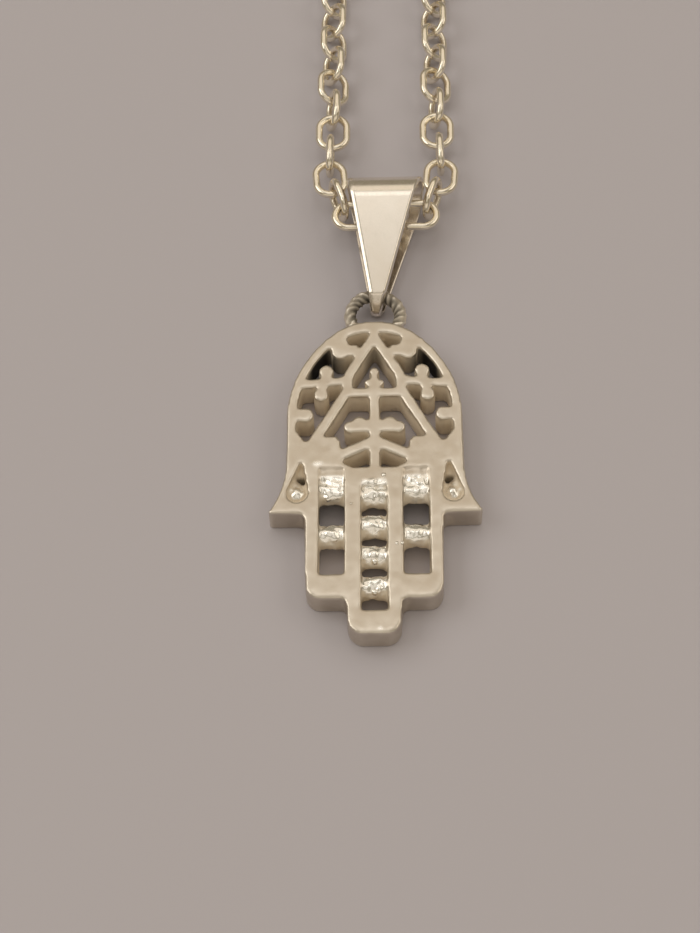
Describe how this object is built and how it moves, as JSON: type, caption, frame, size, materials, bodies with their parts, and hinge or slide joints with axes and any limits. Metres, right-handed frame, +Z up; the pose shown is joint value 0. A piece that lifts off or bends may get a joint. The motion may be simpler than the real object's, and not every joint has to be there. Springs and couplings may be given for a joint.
{
  "type": "hamsa pendant on chain",
  "caption": "Cast silver hamsa hand pendant with a pierced dome and beaded fingers, on a tapered bail and a cable chain necklace.",
  "frame": {"origin": "on the hand's back face, on its centre line, in the solid band between the pierced dome and the finger slots", "axes": "+Z up out of the hand's face, +Y from the fingers to the bail and on to the clasp, +X to the right as the picture shows it"},
  "size_m": [0.1028, 0.2005, 0.0046],
  "materials": {
    "cast_silver": "satin cast silver, darkened in the recesses",
    "polished_silver": "polished silver strip",
    "chain_silver": "bright polished silver"
  },
  "bodies": {
    "root": {"hamsa_hand": "cast_silver", "bail": "polished_silver", "chain": "chain_silver", "clasp": "chain_silver"}
  },
  "joints": []
}
